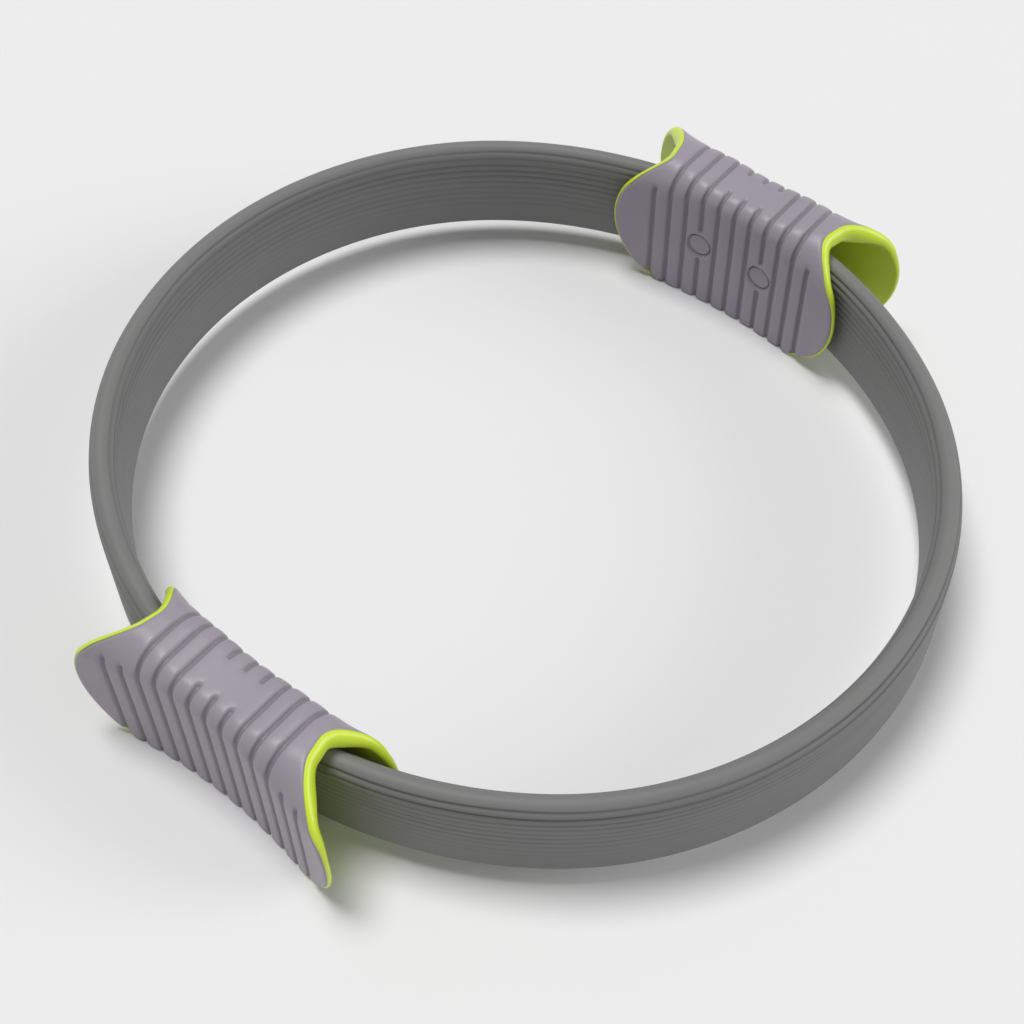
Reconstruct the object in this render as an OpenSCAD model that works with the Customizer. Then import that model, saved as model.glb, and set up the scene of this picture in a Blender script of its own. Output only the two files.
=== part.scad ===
// Squeeze ring for floor exercise: a sprung oval hoop in a ridged foam
// sleeve, with two saddle grips that straddle it on opposite sides.
// Millimetres, +Z up. The hoop lies flat and the grips stand on their
// lower edges at z = 0. The grips sit on the X axis, the origin is the
// middle of the hoop, and the grip at -X travels towards the one at +X.

/* [Hoop] */
// Hoop centre-line from the middle to a grip
hoop_a = 178; // [165:1:190]
// Hoop centre-line from the middle to the open side
hoop_b = 191; // [184:1:200]
// Height of the foam sleeve
sleeve_h = 50; // [44:1:52]
// Thickness of the foam sleeve
sleeve_t = 12; // [11:0.5:13]
// Radius on the four edges of the sleeve
sleeve_r = 4; // [3:0.5:4.5]
// Clear height under the hoop
hoop_lift = 12; // [10:1:14]
// Height of the spring strip inside the sleeve
strip_h = 36; // [30:1:38]
// Thickness of one spring strip
strip_t = 1.2; // [1:0.1:1.6]

/* [Sleeve ridges] */
// Number of fine lines pressed into each face
line_n = 9; // [6:1:9]
// Distance between the lines
line_pitch = 3.6; // [3.2:0.1:3.8]
// Depth of the lines
line_depth = 0.5; // [0.3:0.1:0.7]

/* [Grip] */
// Overall height of a grip
grip_h = 74; // [72:1:76]
// Overall length of a grip between its end lobes
grip_len = 138; // [132:1:144]
// Radius of the round ends of the pads, seen from the side
lobe_r = 44; // [43:1:48]
// Growth of that radius for each millimetre from the inner to the outer pad
end_splay = 0.12; // [0.06:0.01:0.14]
// Thickness of a grip over the hoop, at its waist
waist = 33; // [33:0.5:37]
// Radius of the hollow in plan that flares the ends outwards
flare_r = 260; // [240:10:320]
// Radius of the shoulders between the pads and the top
shoulder_r = 10; // [9:0.5:11]
// Thickness of the soft skin
skin_t = 2.6; // [2.4:0.1:2.8]
// Thickness of the shell in the two pads
wall_t = 2.4; // [2:0.1:2.6]
// Thickness of the shell in the crown
crown_t = 4; // [3.5:0.25:4.5]
// Width of the shell's bare lip past the skin, at the ends of the pads
lip = 0.8; // [0.6:0.1:1.2]
// How far the round ends of the skin sit lower, which widens the lip on top
lip_drop = 2.6; // [2:0.2:3.2]
// How far the lip lies below the surface of the skin
lip_in = 0.4; // [0.2:0.1:0.8]

/* [Grooves] */
// Distance between grooves
groove_pitch = 9; // [8.4:0.1:9.4]
// Width of a groove
groove_w = 2.4; // [2:0.1:3]
// Depth of a groove
groove_depth = 1.3; // [1:0.1:1.5]
// Half length of the bare patch in the middle of the top
bare_half = 7.5; // [6:0.5:8]

/* [Fasteners] */
// Diameter of the screw shank
screw_d = 5; // [4.5:0.5:5]
// Diameter of the screw head
head_d = 9; // [8.4:0.2:9]
// Height of the screw head
head_h = 3; // [2.6:0.2:3.2]
// Width of the nut across its flats
nut_af = 8; // [7.6:0.2:8.4]
// Thickness of the nut
nut_t = 4; // [3:0.5:4]
// Thickness of the washer
washer_t = 1; // [0.8:0.1:1.2]
// Diameter of the cap that closes a screw hole
cap_d = 12; // [11.4:0.2:12.6]
// Length of the spacer blocks along the grip
block_len = 54; // [50:1:56]

/* [Fits] */
// Gap between pieces that are pressed or clamped together
snug = 0.05; // [0.03:0.01:0.08]
// Gap round the spring strips and between foam and hard pieces
loose = 0.3; // [0.25:0.05:0.4]

/* [Hidden] */
$fn = 96;

// The hoop is an oval of four arcs. Their centres lie on the axes, in a
// 3-4-5 triangle with the origin, so the arcs meet without a kink.
arc_unit = (hoop_b - hoop_a) / 2;
flat_arc_x = 4 * arc_unit;
tight_arc_y = 3 * arc_unit;
flat_arc_r = hoop_a + flat_arc_x;
tight_arc_r = hoop_b - tight_arc_y;

sleeve_z = hoop_lift;
mid_z = sleeve_z + sleeve_h / 2;
strip_offset = (strip_t + snug) / 2;
pack_half = strip_t + snug;

lobe_y = grip_len / 2 - lobe_r;
cut_x = waist * 2;

// Shell and cavity walls, counted inwards from the outside of the skin
shell_in = skin_t + snug;
cavity_in = shell_in + wall_t;
cavity_drop = shell_in + crown_t;
cavity_half = waist / 2 - cavity_in;

screw_y = 2 * groove_pitch;
cap_boss_t = 1.4;
head_bore_d = head_d + 1;
seat_x = cavity_half - head_h;
nut_x = cavity_half - nut_t - 1.4;
core_len = 16;
core_h = 24;
core_floor = 6;

// How far the flared wall stands out at this distance along the grip
function flare(y) = flare_r - sqrt(flare_r * flare_r - y * y);

//
// Hoop
//

// Half of the oval, on the +Y side, with a section swept along it. The
// tight arc goes round the open side and a flat one runs on to each grip,
// as far as the upright plane y = y_end.
module half_hoop(y_end, offset) {
  far = 80;
  seam = [4 * far, tight_arc_y + 3 * far];
  intersection() {
    translate([0, tight_arc_y, 0])
      rotate_extrude()
        translate([tight_arc_r + offset, 0])
          children();
    linear_extrude(grip_h)
      polygon([[0, tight_arc_y], seam, [-seam.x, seam.y]]);
  }
  for (s = [0, 1])
    mirror([s, 0, 0])
      intersection() {
        translate([-flat_arc_x, 0, 0])
          rotate_extrude()
            translate([flat_arc_r + offset, 0])
              children();
        linear_extrude(grip_h)
          polygon([[0, y_end], [0, tight_arc_y], seam, [seam.x, y_end]]);
      }
}

// Strip section, upright
module strip_section() {
  translate([-strip_t / 2, mid_z - strip_h / 2])
    square([strip_t, strip_h]);
}

// Foam section: a rounded bar with fine lines in the upper part of both
// faces and a slot for the strip
module sleeve_section(slot_x) {
  half_t = sleeve_t / 2;
  top_z = sleeve_z + sleeve_h;
  difference() {
    union() {
      translate([-half_t + sleeve_r, sleeve_z])
        square([sleeve_t - 2 * sleeve_r, sleeve_h]);
      translate([-half_t, sleeve_z + sleeve_r])
        square([sleeve_t, sleeve_h - 2 * sleeve_r]);
      for (sx = [-1, 1])
        for (z = [sleeve_z + sleeve_r, top_z - sleeve_r])
          translate([sx * (half_t - sleeve_r), z])
            circle(sleeve_r);
    }
    for (i = [0 : line_n - 1])
      translate([0, top_z - sleeve_r - i * line_pitch])
        for (sx = [-1, 1])
          polygon([
            [sx * (half_t + 0.1), line_depth + 0.1],
            [sx * (half_t - line_depth), 0],
            [sx * (half_t + 0.1), -line_depth - 0.1]
          ]);
    translate([slot_x - strip_t / 2 - loose, mid_z - strip_h / 2 - loose])
      square([strip_t + 2 * loose, strip_h + 2 * loose]);
  }
}

// Each strip runs past the grip axis so that the two overlap under the
// screws. The front one lies on the inside of the overlap.
module spring(side) {
  difference() {
    mirror([0, side < 0 ? 1 : 0, 0])
      half_hoop(1 - block_len / 2, side * strip_offset)
        strip_section();
    for (s = [-1, 1])
      at_screws(s)
        bar(screw_d + 0.4, -6, 6);
  }
}

// The foam stops short of the spacer blocks
module sleeve(side) {
  mirror([0, side < 0 ? 1 : 0, 0])
    half_hoop(block_len / 2 + 3, 0)
      sleeve_section(side * strip_offset);
}

//
// Placing
//

// Puts a piece made round the grip axis on the +X or the -X side
module at_grip(s) {
  rotate([0, 0, s > 0 ? 0 : 180])
    translate([hoop_a, 0, 0])
      children();
}

// The two screw lines of a grip, at half the height of the hoop
module at_screws(s) {
  at_grip(s)
    for (sy = [-1, 1])
      translate([0, sy * screw_y, mid_z])
        children();
}

// A round bar along X from x0 to x1
module bar(d, x0, x1) {
  translate([x0, 0, 0])
    rotate([0, 90, 0])
      cylinder(d = d, h = x1 - x0);
}

//
// Saddle form
//

// Wall profile of one side, from the flared face to past the middle, with
// its rounded shoulder. Each face is swept about an upright axis that
// stands away from the grip, so the grip is narrowest at its waist.
module side_profile(inset, drop) {
  r = max(shoulder_r - inset, 1.5);
  top = grip_h - drop;
  x0 = flare_r + inset;
  depth = waist;
  translate([x0, -1])
    square([depth, top - r + 1]);
  translate([x0 + r, -1])
    square([depth - r, top + 1]);
  translate([x0 + r, top - r])
    circle(r);
}

// One side of the saddle, cut off at the middle plane
module saddle_side(sx, inset, drop) {
  mirror([sx < 0 ? 1 : 0, 0, 0])
    intersection() {
      translate([waist / 2 + flare_r, 0, 0])
        rotate([0, 0, 156])
          rotate_extrude(angle = 48)
            side_profile(inset, drop);
      translate([0, -cut_x * 2, -2])
        cube([cut_x, cut_x * 4, grip_h + 4]);
    }
}

// Solid saddle with the skin taken off to this depth at the sides (inset)
// and on the top (drop)
module saddle(inset, drop) {
  saddle_side(1, inset, drop);
  saddle_side(-1, inset, drop);
}

// Side view of the grip: a round end at each side of a straight middle.
// The ends are cones that widen outwards, so the outer pad is the longer.
module lobes(back) {
  reach = waist;
  spread = end_splay * reach;
  for (sy = [-1, 1])
    translate([-reach, sy * (lobe_y - back), grip_h / 2])
      rotate([0, 90, 0])
        cylinder(r1 = lobe_r - spread, r2 = lobe_r + spread, h = 2 * reach);
  translate([-reach, -lobe_y + back, -2])
    cube([2 * reach, 2 * (lobe_y - back), grip_h + 8]);
}

// Side view of the skin: as the grip, less the lip. The same ends set lower
// cut it back towards the top, so the lip widens from the pads to the crown.
module skin_ends(back) {
  intersection() {
    lobes(back);
    translate([0, 0, -lip_drop])
      lobes(back);
  }
}

// All the space over a level
module above(z) {
  translate([-cut_x, -2 * cut_x, z])
    cube([2 * cut_x, 4 * cut_x, grip_h + 2]);
}

//
// Grip skin
//

// Upright slot in one pad at groove number i, from z0 to z1
module pad_slot(sx, i, z0, z1) {
  mirror([sx < 0 ? 1 : 0, 0, 0])
    translate([bare_half, i * groove_pitch - groove_w / 2, z0])
      cube([cut_x, groove_w, z1 - z0]);
}

// Rounds the closed end of such a slot
module slot_end(sx, i, z) {
  translate([0, i * groove_pitch, z])
    mirror([sx < 0 ? 1 : 0, 0, 0])
      bar(groove_w, bare_half, cut_x);
}

module groove_cuts() {
  stop_z = grip_h - shoulder_r - 3;
  cap_gap = cap_d / 2 + 4;
  // over the top: whole on both sides of the bare patch, cut short in it
  for (i = [-4 : 4]) {
    whole = abs(i) > 1;
    plug = abs(i) == 2;
    pad_slot(1, i, -2, grip_h + 2);
    pad_slot(-1, i, plug ? mid_z + cap_gap : -2, grip_h + 2);
    if (whole)
      translate([-cut_x / 2, i * groove_pitch - groove_w / 2, stop_z])
        cube([cut_x, groove_w, cut_x]);
    if (plug) {
      pad_slot(-1, i, -2, mid_z - cap_gap);
      slot_end(-1, i, mid_z + cap_gap);
      slot_end(-1, i, mid_z - cap_gap);
    }
  }
  // the pads carry more: two at each end outside, one inside
  for (i = [-6, -5, 5, 6]) {
    pad_slot(1, i, -2, stop_z);
    slot_end(1, i, stop_z);
  }
  for (i = [-5, 5]) {
    pad_slot(-1, i, -2, stop_z);
    slot_end(-1, i, stop_z);
  }
}

// Soft skin over the pads and the crown, open below
module grip_skin(s) {
  at_grip(s)
    difference() {
      intersection() {
        union() {
          saddle(groove_depth, groove_depth);
          difference() {
            saddle(0, 0);
            groove_cuts();
          }
        }
        skin_ends(lip);
        above(0);
      }
      saddle(skin_t, skin_t);
      for (sy = [-1, 1])
        translate([0, sy * screw_y, mid_z])
          bar(cap_d + 2 * snug, -cut_x, 0);
    }
}

//
// Grip shell
//

// Lip of the shell, which closes the ends of the skin
module end_lip() {
  difference() {
    saddle(lip_in, lip_in);
    skin_ends(lip - snug);
  }
}

// Upright ribs in the cavity, just clear of the ends of the spacer blocks
module block_ribs() {
  rib_y = block_len / 2 + snug;
  for (sx = [-1, 1])
    for (sy = [-1, 1])
      translate([sx * (cavity_half + 0.5), sy * (rib_y + 1), sleeve_z])
        translate([-2.5, -1, 2])
          cube([5, 2, sleeve_h]);
}

// Hard shell under the skin. Its lip shows round both ends, and ribs on
// its walls keep the spacer blocks from sliding along the hoop.
module grip_shell(s) {
  at_grip(s)
    difference() {
      intersection() {
        union() {
          difference() {
            union() {
              saddle(shell_in, shell_in);
              end_lip();
            }
            saddle(cavity_in, cavity_drop);
          }
          intersection() {
            saddle(shell_in, shell_in);
            block_ribs();
          }
        }
        lobes(0);
        above(1.2);
      }
      for (sy = [-1, 1])
        translate([0, sy * screw_y, mid_z])
          bar(head_bore_d, -cut_x, 0);
    }
}

//
// Spacer blocks
//

// Outline shared by both blocks: an upright bar with its long edges eased
module block_blank() {
  h = sleeve_h - 4;
  translate([-cut_x / 2, -block_len / 2, sleeve_z + 2])
    cube([cut_x, block_len, h]);
}

// Seen from the grip axis, the hoop bulges outwards and the pad wall
// hollows outwards, so each block is a lens cut by two upright cylinders.
module outer_block(s) {
  at_grip(s)
    difference() {
      intersection() {
        block_blank();
        translate([0, -block_len, 0])
          cube([cut_x, block_len * 2, grip_h]);
      }
      translate([-flat_arc_r, 0, -1])
        cylinder(r = flat_arc_r + pack_half + snug, h = grip_h + 2, $fn = 360);
      translate([waist / 2 + flare_r, 0, -1])
        cylinder(r = flare_r + cavity_in + snug, h = grip_h + 2, $fn = 360);
      for (sy = [-1, 1])
        translate([0, sy * screw_y, mid_z]) {
          bar(screw_d + 0.2, -1, cut_x);
          translate([nut_x, 0, 0])
            rotate([0, 90, 0])
              cylinder(d = (nut_af + 2 * snug) / cos(30), h = cut_x, $fn = 6);
        }
      // core pocket between the screws
      translate([cavity_half - core_floor, -core_len / 2, mid_z - core_h / 2])
        cube([cut_x, core_len, core_h]);
    }
}

module inner_block(s) {
  at_grip(s)
    difference() {
      intersection() {
        block_blank();
        translate([-flat_arc_r, 0, 0])
          cylinder(r = flat_arc_r - pack_half - snug, h = grip_h, $fn = 360);
      }
      translate([-waist / 2 - flare_r, 0, -1])
        cylinder(r = flare_r + cavity_in + snug, h = grip_h + 2, $fn = 360);
      for (sy = [-1, 1])
        translate([0, sy * screw_y, mid_z]) {
          bar(screw_d + 0.2, -cut_x, 1);
          bar(head_bore_d, -cut_x, -seat_x + washer_t);
        }
      // core pocket between the screws
      translate([core_floor - cut_x - cavity_half, -core_len / 2, mid_z - core_h / 2])
        cube([cut_x, core_len, core_h]);
    }
}

//
// Fasteners
//

// Pan-head screws, driven from the inside of the hoop
module screws(s) {
  at_screws(s)
    difference() {
      union() {
        bar(head_d, -seat_x - head_h, -seat_x);
        bar(screw_d, -seat_x, nut_x + nut_t + 1);
      }
      translate([-seat_x - head_h - 1, 0, 0])
        rotate([0, 90, 0])
          cylinder(d = 3 / cos(30), h = 2.8, $fn = 6);
    }
}

module washers(s) {
  at_screws(s)
    difference() {
      bar(head_bore_d - 0.4, -seat_x + snug, -seat_x + washer_t - snug);
      bar(screw_d + 0.2, -cut_x, cut_x);
    }
}

module nuts(s) {
  at_screws(s)
    difference() {
      translate([nut_x + snug, 0, 0])
        rotate([0, 90, 0])
          cylinder(d = nut_af / cos(30), h = nut_t - snug, $fn = 6);
      bar(screw_d + 2 * snug, -cut_x, cut_x);
    }
}

// Push-in caps flush with the inner pad. Their seat is where the flared
// shell stands out furthest under the rim of the cap.
module caps(s) {
  face_x = waist / 2 + flare(screw_y) - 0.2;
  seat = waist / 2 - shell_in + flare(screw_y + cap_d / 2) + snug;
  at_screws(s) {
    bar(cap_d, -face_x, -seat);
    bar(head_d, -seat, -seat + skin_t + cap_boss_t - 1);
  }
}

//
// Nodes
//

module front_spring() { color([0.55, 0.57, 0.6]) spring(-1); }
module rear_spring() { color([0.6, 0.62, 0.65]) spring(1); }
module front_sleeve() { color([0.42, 0.42, 0.41]) sleeve(-1); }
module rear_sleeve() { color([0.47, 0.47, 0.46]) sleeve(1); }

module right_shell() { color([0.68, 0.8, 0.15]) grip_shell(1); }
module right_grip() { color([0.55, 0.52, 0.55]) grip_skin(1); }
module right_outer_block() { color([0.25, 0.26, 0.27]) outer_block(1); }
module right_inner_block() { color([0.3, 0.31, 0.32]) inner_block(1); }
module right_screws() { color([0.75, 0.75, 0.77]) screws(1); }
module right_washers() { color([0.85, 0.85, 0.87]) washers(1); }
module right_nuts() { color([0.8, 0.78, 0.7]) nuts(1); }
module right_caps() { color([0.5, 0.47, 0.5]) caps(1); }

module left_shell() { color([0.68, 0.8, 0.15]) grip_shell(-1); }
module left_grip() { color([0.55, 0.52, 0.55]) grip_skin(-1); }
module left_outer_block() { color([0.25, 0.26, 0.27]) outer_block(-1); }
module left_inner_block() { color([0.3, 0.31, 0.32]) inner_block(-1); }
module left_screws() { color([0.75, 0.75, 0.77]) screws(-1); }
module left_washers() { color([0.85, 0.85, 0.87]) washers(-1); }
module left_nuts() { color([0.8, 0.78, 0.7]) nuts(-1); }
module left_caps() { color([0.5, 0.47, 0.5]) caps(-1); }

front_spring();
rear_spring();
front_sleeve();
rear_sleeve();
right_shell();
right_grip();
right_outer_block();
right_inner_block();
right_screws();
right_washers();
right_nuts();
right_caps();
left_shell();
left_grip();
left_outer_block();
left_inner_block();
left_screws();
left_washers();
left_nuts();
left_caps();
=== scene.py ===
import bpy
import numpy as np
from mathutils import Euler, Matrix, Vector


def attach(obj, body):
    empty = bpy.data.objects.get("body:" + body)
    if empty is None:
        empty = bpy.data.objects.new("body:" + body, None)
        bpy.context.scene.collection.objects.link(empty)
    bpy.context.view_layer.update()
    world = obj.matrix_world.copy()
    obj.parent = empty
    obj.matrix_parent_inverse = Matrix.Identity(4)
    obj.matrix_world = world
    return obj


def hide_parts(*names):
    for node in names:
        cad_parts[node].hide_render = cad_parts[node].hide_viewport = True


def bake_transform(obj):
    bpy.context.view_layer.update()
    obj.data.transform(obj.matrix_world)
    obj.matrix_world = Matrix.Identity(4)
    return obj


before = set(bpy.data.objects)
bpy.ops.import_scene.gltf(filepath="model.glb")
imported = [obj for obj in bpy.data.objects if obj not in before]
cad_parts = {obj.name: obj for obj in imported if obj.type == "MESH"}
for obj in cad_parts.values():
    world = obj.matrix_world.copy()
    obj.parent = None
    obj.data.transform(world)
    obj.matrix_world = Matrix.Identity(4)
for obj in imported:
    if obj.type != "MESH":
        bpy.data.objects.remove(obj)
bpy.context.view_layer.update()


# Spring strips: two flat strips of blued spring steel, each bent round one open side of
# the hoop. They overlap inside both grips, where the screws clamp them.
hoop_a, hoop_b = 178.0, 191.0  # centre-line of the hoop at a grip and at an open side
flat_arc_x = (hoop_b - hoop_a) * 2.0
tight_arc_y = (hoop_b - hoop_a) * 1.5
seam_angle = np.arctan2(tight_arc_y, flat_arc_x)  # where a flat arc meets a tight one
sleeve_z, sleeve_h = 12.0, 50.0
mid_z = sleeve_z + sleeve_h / 2
strip_t, strip_h = 1.2, 36.0
strip_off = 0.625  # from the centre-line to the middle of either strip
block_len = 54.0


def oval(angle, out):
    """Point of the hoop's rear half in plan, in mm: a flat arc centred on the X axis at
    either end and a tight one centred on the Y axis between them. angle is the
    direction of the arc's radius and out the distance outside the centre-line. Past the
    axis of a grip the flat arc simply runs on."""
    past_seam = np.where(angle > np.pi - seam_angle, 1.0, 0.0)
    flat = np.where(angle < seam_angle, -1.0, past_seam)
    radius = np.where(flat == 0, hoop_b - tight_arc_y, hoop_a + flat_arc_x) + out
    x = flat * flat_arc_x + radius * np.cos(angle)
    return x, np.where(flat == 0, tight_arc_y, 0.0) + radius * np.sin(angle)


def skin_mesh(name, points, values=None, smooth=True):
    """Closed mesh of a grid of points (rows, columns, xyz) in mm. Each row closes on
    itself, and a flat face closes the first and the last row. values, the weight of shade
    painted into the grooves, are kept as a point attribute. Faces that would look
    inwards, by the mesh's volume, are turned."""
    rows, cols = points.shape[:2]
    index = np.arange(rows * cols).reshape(rows, cols)
    up, down = index[:-1], index[1:]
    right_up, right_down = np.roll(up, -1, axis=1), np.roll(down, -1, axis=1)
    quads = np.stack([up, right_up, right_down, down], axis=-1).reshape(-1, 4)
    where = points.reshape(-1, 3) * 0.001
    corners = where[quads]
    middle = where.mean(axis=0)
    a, b, c, d = (corners[:, i] - middle for i in range(4))
    volume = (a * np.cross(b, c)).sum() + (a * np.cross(c, d)).sum()
    faces = quads.tolist() + [index[0][::-1].tolist(), index[-1].tolist()]
    if volume < 0:
        faces = [face[::-1] for face in faces]
    mesh = bpy.data.meshes.new(name)
    mesh.from_pydata(where.tolist(), [], faces)
    mesh.polygons.foreach_set("use_smooth", np.full(len(faces), smooth))
    if values is not None:
        hollow_values = mesh.attributes.new("hollow", "FLOAT", "POINT").data
        hollow_values.foreach_set("value", values.reshape(-1).astype(np.float32))
    mesh.update()
    piece = bpy.data.objects.new(name, mesh)
    bpy.context.scene.collection.objects.link(piece)
    return piece


class Knob:
    """A node socket that Python operators work on."""

    def __init__(self, tree, socket):
        self.tree, self.socket = tree, socket

    def node(self, kind, settings=None, **inputs):
        """Adds a node of a type to the same tree, with its settings first and then the
        values or links of its inputs, by name or as i0, i1 and so on by number."""
        made = self.tree.nodes.new(kind)
        for key, value in (settings or {}).items():
            setattr(made, key, value)
        for key, value in inputs.items():
            numbered = key[0] == "i" and key[1:].isdigit()
            target = made.inputs[int(key[1:]) if numbered else key.replace("_", " ")]
            if isinstance(value, Knob):
                self.tree.links.new(value.socket, target)
            else:
                target.default_value = value
        return made

    def maths(self, operation, first, second):
        """Adds one Math node on two values. Each operator below is one."""
        made = self.node("ShaderNodeMath", {"operation": operation}, i0=first, i1=second)
        return Knob(self.tree, made.outputs[0])

    def __add__(self, other):
        return self.maths("ADD", self, other)

    def __sub__(self, other):
        return self.maths("SUBTRACT", self, other)

    def __rsub__(self, other):
        return self.maths("SUBTRACT", other, self)

    def __mul__(self, other):
        return self.maths("MULTIPLY", self, other)

    __radd__, __rmul__ = __add__, __mul__

    def clamp(self):
        """The value, kept between 0 and 1."""
        return self.maths("MINIMUM", self.maths("MAXIMUM", self, 0.0), 1.0)


def finish_of(name, base, roughness, metallic=0.0, **sockets):
    """A new Principled material with its constant sockets set. Gives the material,
    the shader node and a Knob on the object's own coordinates in metres."""
    material = bpy.data.materials.new(name)
    material.use_nodes = True
    tree = material.node_tree
    shader = tree.nodes["Principled BSDF"]
    shader.inputs["Base Color"].default_value = (*base, 1.0)
    shader.inputs["Roughness"].default_value = roughness
    shader.inputs["Metallic"].default_value = metallic
    for key, value in sockets.items():
        shader.inputs[key.replace("_", " ")].default_value = value
    coordinates = Knob(tree, shader.outputs[0]).node("ShaderNodeTexCoord")
    return material, shader, Knob(tree, coordinates.outputs["Object"])


def noise(place, scale, detail=3.0, rough=0.5, stretch=(1.0, 1.0, 1.0)):
    """Fractal noise on the object's coordinates, 0 to 1, finer along an axis where
    stretch is over 1."""
    spot = place.node("ShaderNodeMapping", Vector=place, Scale=stretch)
    vector = Knob(place.tree, spot.outputs[0])
    made = place.node("ShaderNodeTexNoise", Vector=vector, Scale=scale, Detail=detail,
                      Roughness=rough)
    return Knob(place.tree, made.outputs["Fac"])


def blend_colour(factor, first, second):
    """Mixes two colours by a 0 to 1 factor. Each is a tuple of three or a Knob."""
    ends = [(*end, 1.0) if isinstance(end, tuple) else end for end in (first, second)]
    made = factor.node("ShaderNodeMix", {"data_type": "RGBA"}, i0=factor, i6=ends[0], i7=ends[1])
    return Knob(factor.tree, made.outputs[2])


def hollowness(place):
    """The mesh attribute of painted shade, which is 1 at the bottom of a groove."""
    made = place.node("ShaderNodeAttribute", {"attribute_name": "hollow"})
    return Knob(place.tree, made.outputs["Fac"])


def feed(shader, socket, knob):
    """Lets a knob drive one socket of the shader."""
    knob.tree.links.new(knob.socket, shader.inputs[socket])


def raise_bumps(shader, height, distance, strength):
    """Bump from a height knob; distance is the height of a full step, in metres."""
    made = height.node("ShaderNodeBump", Height=height, Distance=distance, Strength=strength)
    height.tree.links.new(made.outputs["Normal"], shader.inputs["Normal"])


strip_steel, shader, place = finish_of("strip_steel", (0.19, 0.2, 0.22), 0.34, 1.0)
drawn = noise(place, 90.0, 4.0, stretch=(1.0, 1.0, 14.0))
feed(shader, "Base Color", blend_colour(drawn, (0.13, 0.14, 0.17), (0.27, 0.28, 0.3)))
feed(shader, "Roughness", drawn * 0.2 + 0.24)

# each strip runs past the axis of both grips, to 1 mm short of the blocks' ends
over = np.arcsin((block_len / 2 - 1) / (hoop_a + flat_arc_x))
angle = np.linspace(-over, np.pi + over, 320)[:, None]
# the section is a bar with eased corners: a cosine and a sine, made steeper and cut
# off at its faces
edge = np.linspace(0, 2 * np.pi, 24, endpoint=False)
half_sx = 0.5 * strip_t * np.clip(np.cos(edge) * 3, -1, 1)
sz = 0.5 * strip_h * np.clip(np.sin(edge) * 1.05, -1, 1) + mid_z
for node, side in (("front_spring", -1), ("rear_spring", 1)):
    x, y = oval(angle, half_sx + side * strip_off)
    points = np.stack([x, side * y, np.broadcast_to(sz, x.shape)], axis=-1)
    strip = skin_mesh(f"{node}_strip", points, smooth=False)
    strip.data.materials.append(strip_steel)
    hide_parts(node)
    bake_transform(strip)


# Foam sleeves: a grey foam sleeve over each strip, moulded as a bar with a domed top. Soft
# lines run along the upper part of both faces, a little unevenly, and die away downwards,
# with shade painted into them. The foam ends inside the grips.
sleeve_t, sleeve_r, dome_h = 12.0, 4.0, 9.0
line_n, line_pitch, line_top, line_half = 10, 3.6, 5.4, 0.75
half_t, sleeve_top = sleeve_t / 2, sleeve_z + sleeve_h
lined_h, past_lines = 33.0, 90.0
full_shade_dip = 0.42  # depth of a line at which its painted shade is full


def bar_outline():
    """Foam section as arrays: x, z, outward normal, and the run down from the middle of
    the top. The top is half an ellipse as wide as the bar. From there the faces go
    straight down, stepped finely where the lines are, to lower edges that are quarter
    circles. The edges and the underside have a run past every line."""
    turn = np.linspace(0, np.pi / 2, 40)
    down = np.concatenate([np.linspace(0, lined_h, 86)[1:], [lined_h + 3]])
    x = np.concatenate([half_t * np.sin(turn), np.full(down.size, half_t)])
    z = sleeve_top - np.concatenate([dome_h * (1 - np.cos(turn)), dome_h + down])
    run = np.concatenate([[0.0], np.cumsum(np.hypot(np.diff(x), np.diff(z)))])
    steep = np.hypot(dome_h * np.sin(turn), half_t * np.cos(turn))
    nx = np.concatenate([dome_h * np.sin(turn) / steep, np.ones(down.size)])
    nz = np.concatenate([half_t * np.cos(turn) / steep, np.zeros(down.size)])
    under = np.linspace(0, np.pi / 2, 7)
    flat_half = half_t - sleeve_r
    x = np.concatenate([x, flat_half + sleeve_r * np.cos(under), [flat_half / 2, 0.0]])
    z = np.concatenate([z, sleeve_z + sleeve_r * (1 - np.sin(under)), [sleeve_z, sleeve_z]])
    nx = np.concatenate([nx, np.cos(under), [0, 0]])
    nz = np.concatenate([nz, -np.sin(under), [-1, -1]])
    run = np.concatenate([run, np.full(under.size + 2, past_lines)])
    mirrored = ((x, -1), (z, 1), (nx, -1), (nz, 1), (run, 1))
    return [np.concatenate([part, sign * part[-2:0:-1]]) for part, sign in mirrored]


foam, shader, place = finish_of("foam", (0.19, 0.19, 0.188), 0.54, Specular_IOR_Level=0.26)
hollow = hollowness(place)
mottle = noise(place, 26.0, 4.0, 0.55)
pores = noise(place, 1500.0, 2.0, 0.6)
clean = blend_colour(mottle, (0.18, 0.18, 0.178), (0.206, 0.206, 0.204))
# painted shade: the lines are painted darker in their hollows, by their depth
feed(shader, "Base Color", blend_colour((hollow * 0.6).clamp(), clean, (0.12, 0.12, 0.118)))
feed(shader, "Roughness", mottle * 0.1 + 0.48)
raise_bumps(shader, pores, 0.00006, 0.6)

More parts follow.
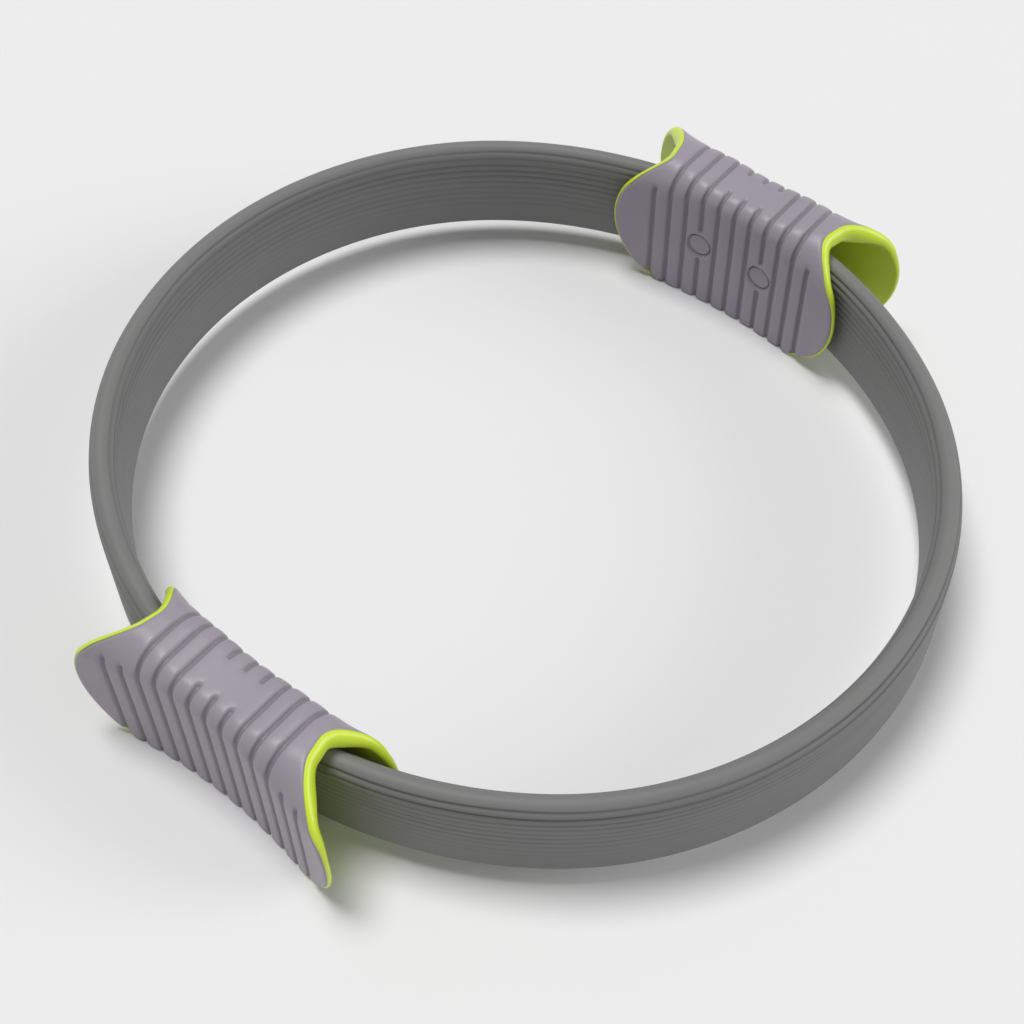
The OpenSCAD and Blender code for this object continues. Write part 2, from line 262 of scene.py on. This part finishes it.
# the foam ends 3 mm clear of the spacer blocks
start = np.arcsin((block_len / 2 + 3) / (hoop_a + flat_arc_x))
angle = np.linspace(start, np.pi - start, 241)[:, None]
sx, sz, nx, nz, run = bar_outline()
for node, side in (("front_sleeve", -1), ("rear_sleeve", 1)):
    dip = np.zeros((angle.size, sx.size))
    for line in range(line_n):
        # each line wanders by up to a quarter of a millimetre along the hoop
        slow = 0.14 * np.sin(angle * (7 + line * 1.7) + line * 2.1)
        quick = 0.1 * np.sin(angle * (17 - line) + line * 0.7 + side)
        centre = line_top + line * line_pitch + (slow + quick)
        # the two top lines are deeper, above all on the front sleeve
        depth = 0.45 - 0.12 * side if line < 2 else 0.36 + 0.05 * side
        fade = np.exp(-((line / 8.0) ** 2))
        deep = depth * fade * (1 + 0.25 * np.sin(angle * 5 + line * 1.3))
        dip += deep * np.exp(-(((run - centre) / line_half) ** 2))
    x, y = oval(angle, sx - dip * nx)
    points = np.stack([x, side * y, sz - dip * nz], axis=-1)
    # the depth of each line also sets the shade painted into it
    foam_bar = skin_mesh(f"{node}_foam", points, values=dip / full_shade_dip)
    foam_bar.data.materials.append(foam)
    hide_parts(node)
    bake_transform(foam_bar)


# Grip shells: a glossy lime saddle moulded in one piece, narrowest at its waist and flared
# at both ends. Its rolled lip is thick over the hoop and thins out down the pads, and it
# is the only part of the shell left bare.
grip_h, grip_len = 74.0, 138.0
lobe_r, end_splay = 44.0, 0.12
waist, flare_r = 33.0, 260.0
skin_t, wall_t, crown_t = 2.6, 2.4, 4.0
shoulder_r, shoulder_gain, crown_sag = 8.5, 10.0, 2.4
lobe_y = grip_len / 2 - lobe_r


def step(low, high, value):
    """Smooth step from 0 at low to 1 at high."""
    t = np.clip((value - low) / (high - low), 0.0, 1.0)
    return t * t * (3 - 2 * t)


def arch_rows(floor_z, wall_n):
    """Rows of the saddle, from the outer sole over the crown to the inner sole: the
    side q (1 outside, -1 inside, between them on the top), the share of the way up
    the wall, the outward normal and the level of the sole."""
    climb = np.linspace(0, 1, wall_n) ** 1.1
    bend = np.linspace(0, np.pi / 2, 18)[1:]
    flat = np.linspace(1, -1, 17)[1:-1]
    ones, zeros = np.ones(wall_n), np.zeros(wall_n)
    back = bend[::-1]
    q = np.concatenate([np.ones(wall_n + bend.size), flat, -np.ones(wall_n + bend.size)])
    share = np.concatenate([climb, np.ones(2 * bend.size + flat.size), climb[::-1]])
    nx = np.concatenate([ones, np.cos(bend), np.zeros(flat.size), -np.cos(back), -ones])
    nz = np.concatenate([zeros, np.sin(bend), np.ones(flat.size), np.sin(back), zeros])
    return q[:, None], share[:, None], nx[:, None], nz[:, None], floor_z


def saddle(rows, y, depth=0.0):
    """Point of the saddle at distance y along the grip and this depth under the skin,
    round the grip's own axis. Each wall is an arc of radius flare_r in plan. The top
    sags by crown_sag at the waist, and the shoulders grow rounder by shoulder_gain
    towards the ends. Rows on the wall share out its height."""
    q, share, nx, nz, floor_z = rows
    shoulder = shoulder_r + shoulder_gain * step(16.0, 52.0, np.abs(y))
    top = grip_h - crown_sag * (1 - step(0.0, 56.0, np.abs(y)))
    corner = waist / 2 + flare_r - np.sqrt(flare_r**2 - y**2) - shoulder
    x = q * corner + (shoulder - depth) * nx
    z = floor_z + share * (top - shoulder - floor_z) + (shoulder - depth) * nz
    return np.stack(np.broadcast_arrays(x, y, z), axis=-1)


def pad_end(rows):
    """Distance from the middle to the end of each row: a large circle seen from the
    side, centred at half the height, wider for the outer pad. The lower corner is
    drawn in by up to 6 mm within 9 mm of the ground. Each round finds the end from the
    height at the last one."""
    y = np.full_like(rows[0], 60.0)
    for _ in range(12):
        at = saddle(rows, y)
        radius = lobe_r + end_splay * at[..., 0]
        drop = 6.0 * (1 - np.clip(at[..., 2] / 9.0, 0, 1)) ** 2
        y = lobe_y + np.sqrt(radius**2 - (at[..., 2] - grip_h / 2) ** 2) - drop
    return y, at[..., 2]


def lip_radius(z):
    """Radius of the rolled lip at this height: about 1 mm on the pads, and from the
    shoulders on it grows to 5 mm on top, over the hoop."""
    return 0.9 + 0.3 * step(10.0, 40.0, z) + 1.3 * step(42.0, 64.0, z) + 2.6 * step(60.0, 75.0, z)


def lip_bare(z):
    """Width of the strip of lip that the skin leaves bare, measured from the end."""
    return 1.0 + 0.9 * step(46.0, 64.0, z) + 1.3 * step(64.0, 73.0, z)


lip_under = 0.95  # how far the lip lies under the face of the skin on the pads


def at_grip(points, side):
    """Carries points made round the grip's own axis to the +X or the -X grip."""
    return (points + np.array([hoop_a, 0.0, 0.0])) * np.array([side, side, 1.0])


def lip_loop(reach, end_z, nz):
    """Closed loop of the shell's section for every row, as y and depth. From the end
    inwards: an outside that dives under the edge of the skin, a round lip, and the
    bare inside that eases from the lip to the cavity wall."""
    radius, bare = lip_radius(end_z), lip_bare(end_z)
    top = lip_under * (1 - step(48.0, 66.0, end_z))
    inside = skin_t + wall_t + (crown_t - wall_t) * nz**2
    start = np.arccos(np.clip(1 - (bare + 0.25) / radius, 0, 1))
    roll = start - (start + np.pi / 2) * np.linspace(0, 1, 21)[None, :]
    lip_in, lip_depth = radius * (1 - np.cos(roll)), top + radius * (1 - np.sin(roll))
    back_in = np.array([[1.5, 4.0, 8.0, 14.0, 20.0]])
    ease = 1 - step(0.0, 18.0, back_in)
    sunk = np.full_like(bare, skin_t + 0.2)
    back_depth = inside + (top + 2 * radius - inside) * ease
    half_in = [bare + 7.0, bare + 1.0, bare + 0.4, lip_in, radius + back_in]
    half_depth = [sunk, sunk, lip_depth[:, :1] + 0.5, lip_depth, back_depth]
    y, depth = reach - np.concatenate(half_in, axis=1), np.concatenate(half_depth, axis=1)
    # the other end is its mirror image, and mid joins the two inside and outside
    mid = np.linspace(1, -1, 9)[None, 1:-1]
    inner, outer = np.repeat(inside, mid.size, 1), np.repeat(sunk, mid.size, 1)
    loop_y = np.concatenate([y, y[:, -1:] * mid, -y[:, ::-1], -y[:, :1] * mid], axis=1)
    return loop_y, np.concatenate([depth, inner, depth[:, ::-1], outer], axis=1)


lime, shader, place = finish_of("lime_shell", (0.6, 0.78, 0.03), 0.32, Coat_Weight=0.15,
                                Coat_Roughness=0.15)
cloud = noise(place, 18.0)
feed(shader, "Base Color", blend_colour(cloud, (0.59, 0.765, 0.026), (0.65, 0.83, 0.036)))
feed(shader, "Roughness", noise(place, 240.0) * 0.12 + 0.28)
raise_bumps(shader, noise(place, 70.0, 2.0), 0.00012, 0.5)

rows = arch_rows(1.2, 60)
y, depth = lip_loop(*pad_end(rows), rows[3])
saddle_points = saddle(rows, y, depth)
for name, side, body in (("right", 1, "fixed_grip"), ("left", -1, "moving_grip")):
    shell = skin_mesh(f"{name}_saddle_shell", at_grip(saddle_points, side))
    shell.data.materials.append(lime)
    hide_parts(f"{name}_shell")
    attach(shell, body)


# Grip skins: mauve-grey soft rubber moulded over the shell, with upright grooves down both
# pads and across the top, and shade painted into the grooves. The middle of the top is
# bare, and the inner pad leaves two round wells for the screw caps, also painted darker.
groove_pitch, groove_depth, bare_half = 9.0, 1.3, 7.5
groove_top = grip_h - 13.0
rib_crown = 0.5
cap_d, cap_y, well_depth = 12.0, 2 * groove_pitch, 1.8


def groove_depths(q, at):
    """Depth of the grooves, and the weight of the shade painted into the grooves and the
    cap wells, at each of its points. A groove is a soft trough round the nearest multiple
    of the pitch, rounded off past its ends, and the ribs between are crowned. short is the
    distance past a groove's end: the middle three stop at the bare patch, the next two at
    the caps, the last two on each side below the top, and the inner pad does without the last."""
    x, y, z = at[..., 0], at[..., 1], at[..., 2]
    number = np.clip(np.round(y / groove_pitch), -6, 6)
    across = np.abs(y - number * groove_pitch)
    steps = np.abs(number)
    inner = q < 0
    past_top = np.maximum(z - groove_top, 0)
    by_cap = np.where(inner, np.maximum(cap_d / 2 + 4 - np.abs(z - mid_z), 0), 0.0)
    by_patch = np.maximum(bare_half + 1.2 - np.abs(x), 0)
    kinds = [steps <= 1, steps == 2, steps <= 4, steps == 5]
    outermost = np.where(inner, 99.0, past_top)
    short = np.select(kinds, [by_patch, by_cap, 0.0 * z, past_top], outermost)
    trough = 1 - step(0.3, 1.75, np.hypot(across, short))
    fall = np.clip(across / (groove_pitch / 2), 0, 1)
    crowned = rib_crown * (1 - fall) ** 2 * (1 - step(0.0, 4.0, short))
    from_cap = np.hypot(np.abs(y) - cap_y, z - mid_z)
    well = np.where(inner, 1 - step(cap_d / 2 + 0.25, cap_d / 2 + 1.2, from_cap), 0.0)
    deepest = np.maximum(groove_depth * trough + crowned, well_depth * well)
    return deepest, np.maximum(trough, well)


rubber, shader, place = finish_of("grip_rubber", (0.3, 0.275, 0.31), 0.42, Specular_IOR_Level=0.32)
hollow = hollowness(place)
worn = noise(place, 40.0, 4.0)
even = blend_colour(worn, (0.304, 0.274, 0.32), (0.348, 0.315, 0.366))
# painted shade: the grooves and the cap wells are painted darker towards their bottoms
feed(shader, "Base Color", blend_colour((hollow * 0.4).clamp(), even, (0.13, 0.115, 0.132)))
feed(shader, "Roughness", noise(place, 300.0) * 0.12 + 0.31)
raise_bumps(shader, noise(place, 1800.0, 2.0), 0.00005, 0.5)

rows = arch_rows(0.0, 100)
reach, end_z = pad_end(rows)
reach = reach - lip_bare(end_z)
# columns close together at each groove; past the last rib they are packed into tuck
tuck = 6.0
offsets = np.array([0.0, 0.55, 0.85, 1.1, 1.35, 1.65, 2.1, 2.8, 3.6, 4.5])
offsets = np.concatenate([-offsets[-2:0:-1], offsets])
along = (np.arange(-8, 9)[:, None] * groove_pitch + offsets[None, :]).reshape(1, -1)
past = np.maximum(np.abs(along) - (reach - tuck), 0.0)
packed = tuck / (along.max() - (reach - tuck))
out_y = np.sign(along) * (np.minimum(np.abs(along), reach - tuck) + past * packed)
# the free edge is rounded down to the lip, and so is the sole
edge = 1.2 * (1 - np.sqrt(1 - np.clip(1 - (reach - np.abs(out_y)) / 2.6, 0, 1) ** 2))
at = saddle(rows, out_y)
sole = 0.8 * np.clip(1 - at[..., 2] / 1.2, 0, 1) ** 2
# the second value is the weight of the shade painted into the grooves and the wells
hollows, painted_shade = groove_depths(rows[0], at)
out_depth = np.minimum(hollows + edge + sole, skin_t - 0.3)
# the underside closes each row, just short of the free edges
under_y = (reach - 0.05) * np.linspace(1, -1, 11)[None, :]
y = np.concatenate([out_y, under_y], axis=1)
depth = np.concatenate([out_depth, np.full(under_y.shape, skin_t - 0.05)], axis=1)
painted_shade = np.concatenate([painted_shade, np.zeros(under_y.shape)], axis=1)
skin_points = saddle(rows, y, depth)
for name, side, body in (("right", 1, "fixed_grip"), ("left", -1, "moving_grip")):
    skin = skin_mesh(f"{name}_grip_skin", at_grip(skin_points, side), values=painted_shade)
    skin.data.materials.append(rubber)
    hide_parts(f"{name}_grip")
    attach(skin, body)


# Screw caps: round push-in caps of the same rubber, a little below the face of the inner
# pads, with a softened rim. They hide the heads of the screws.
cap_under = 0.75


def cap_face(y0):
    """Cap as rings round its own axis: a face that follows the flared pad, a rolled
    rim and a straight side that goes into the well."""
    turn = np.linspace(0, 2 * np.pi, 64, endpoint=False)[None, :]
    ring = np.array([0.02, 1.5, 3.0, 4.4, 5.3, 5.65, 5.87, 5.97, 6.0, 6.0])[:, None]
    sunk = np.array([0.0, 0.0, 0.0, 0.02, 0.06, 0.14, 0.3, 0.55, 0.9, 1.3])[:, None]
    y = y0 + ring * np.cos(turn)
    wall = waist / 2 + flare_r - np.sqrt(flare_r**2 - y**2)
    return np.stack([-(wall - cap_under - sunk), y, mid_z + ring * np.sin(turn)], axis=-1)


for name, side, body in (("right", 1, "fixed_grip"), ("left", -1, "moving_grip")):
    for place_name, y0 in (("a", -cap_y), ("b", cap_y)):
        cap = skin_mesh(f"{name}_cap_{place_name}", at_grip(cap_face(y0), side))
        cap.data.materials.append(rubber)
        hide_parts(f"{name}_caps")
        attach(cap, body)


# Spacer blocks: black glass-filled nylon blocks that fill the saddle on both sides of the
# strips. They are seen only from below, between the pads.
nylon, shader, place = finish_of("black_nylon", (0.022, 0.022, 0.024), 0.5)
grain = noise(place, 900.0)
feed(shader, "Base Color", blend_colour(grain, (0.016, 0.016, 0.018), (0.034, 0.034, 0.036)))
feed(shader, "Roughness", grain * 0.2 + 0.42)
raise_bumps(shader, grain, 0.00005, 0.5)
for name in ("right_outer_block", "right_inner_block", "left_outer_block", "left_inner_block"):
    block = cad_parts[name]
    block.data.materials.clear()
    block.data.materials.append(nylon)


# Screws, washers and nuts: zinc-plated stock fasteners inside the grips, two to each. They
# clamp the strips between the spacer blocks.
zinc, shader, place = finish_of("zinc_plate", (0.6, 0.61, 0.63), 0.32, 1.0)
spangle = noise(place, 420.0, 4.0)
feed(shader, "Base Color", blend_colour(spangle, (0.5, 0.51, 0.54), (0.68, 0.69, 0.7)))
feed(shader, "Roughness", spangle * 0.22 + 0.22)
kinds = ("screws", "washers", "nuts")
fasteners = [f"{side}_{kind}" for side in ("right", "left") for kind in kinds]
for name in fasteners:
    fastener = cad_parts[name]
    fastener.data.materials.clear()
    fastener.data.materials.append(zinc)


# Floor: a seamless pale sheet of paper under the ring, which takes the soft shadow of the
# hoop and the grips.
floor_mesh = bpy.data.meshes.new("studio_floor")
wide = 60.0  # half its side, so that its edge is far off in every view
corners = [(-wide, -wide, 0), (wide, -wide, 0), (wide, wide, 0), (-wide, wide, 0)]
floor_mesh.from_pydata(corners, [], [(0, 1, 2, 3)])
floor_piece = bpy.data.objects.new("studio_floor", floor_mesh)
bpy.context.scene.collection.objects.link(floor_piece)
paper, shader, place = finish_of("pale_paper", (0.854, 0.854, 0.854), 0.9, Specular_IOR_Level=0.0)
fibres = noise(place, 30.0)
feed(shader, "Base Color", blend_colour(fibres, (0.852, 0.852, 0.852), (0.856, 0.856, 0.856)))
feed(shader, "Roughness", fibres * 0.1 + 0.85)
floor_mesh.materials.append(paper)


# Light: a soft wide light from high on the far left, a weak low one from the right and an
# even pale room, as in a catalogue photograph. The near faces fall into shade.
world = bpy.data.worlds.new("pale_room")
bpy.context.scene.world = world
world.use_nodes = True
tree = world.node_tree
ambient = tree.nodes["Background"]
ambient.inputs["Color"].default_value = (1, 1, 1, 1)
ambient.inputs["Strength"].default_value = 0.24
room = Knob(tree, ambient.outputs[0])
backdrop = room.node("ShaderNodeBackground", Color=(0.851, 0.851, 0.851, 1))
rays = room.node("ShaderNodeLightPath").outputs
direct = Knob(tree, rays["Is Camera Ray"]) + Knob(tree, rays["Is Glossy Ray"])
seen = (direct + Knob(tree, rays["Is Transmission Ray"])).clamp()
shown = Knob(tree, backdrop.outputs[0])
mixed = room.node("ShaderNodeMixShader", Fac=seen, i1=room, i2=shown)
tree.links.new(mixed.outputs[0], tree.nodes["World Output"].inputs["Surface"])


def direction(azimuth, elevation):
    """Unit vector towards the camera or a light: azimuth 0 is in front, on -Y, and it
    grows towards +X."""
    a, e = np.radians(azimuth), np.radians(elevation)
    return Vector((np.sin(a) * np.cos(e), -np.cos(a) * np.cos(e), np.sin(e)))


def light(name, azimuth, elevation, spread, strength):
    """Distant light from a direction given as the camera's is; a wider spread makes
    softer shadows."""
    back = direction(azimuth, elevation)
    data = bpy.data.lights.new(name, "SUN")
    data.angle, data.energy = np.radians(spread), strength
    made = bpy.data.objects.new(name, data)
    made.location = back
    made.rotation_mode = "QUATERNION"
    made.rotation_quaternion = (-back).to_track_quat("-Z", "Y")
    bpy.context.scene.collection.objects.link(made)


camera_azimuth = -49.4
light("high_light", camera_azimuth - 125, elevation=76, spread=24, strength=2.02)
light("low_light", camera_azimuth + 82, elevation=25, spread=32, strength=1.0)


# Camera: held close above the near grip and looking down on the hoop, with the near grip
# at the lower left and the far one at the upper right.
def look(azimuth, elevation, distance, target, lens, roll):
    """Camera at a distance from the target, by direction, turned by the roll."""
    back = direction(azimuth, elevation)
    data = bpy.data.cameras.new("camera")
    data.lens, data.sensor_width = lens, 36.0
    data.clip_start, data.clip_end = 0.01, 300.0
    made = bpy.data.objects.new("camera", data)
    made.location = Vector(target) + back * distance
    made.rotation_mode = "QUATERNION"
    turned = Euler((0, 0, np.radians(roll))).to_quaternion()
    made.rotation_quaternion = (-back).to_track_quat("-Z", "Y") @ turned
    bpy.context.scene.collection.objects.link(made)
    bpy.context.scene.camera = made


look(camera_azimuth, elevation=53.5, distance=0.8, target=(-0.0152, -0.0074, 0.02), lens=61.8,
     roll=-1.1)
bpy.context.scene.view_settings.view_transform = "Standard"
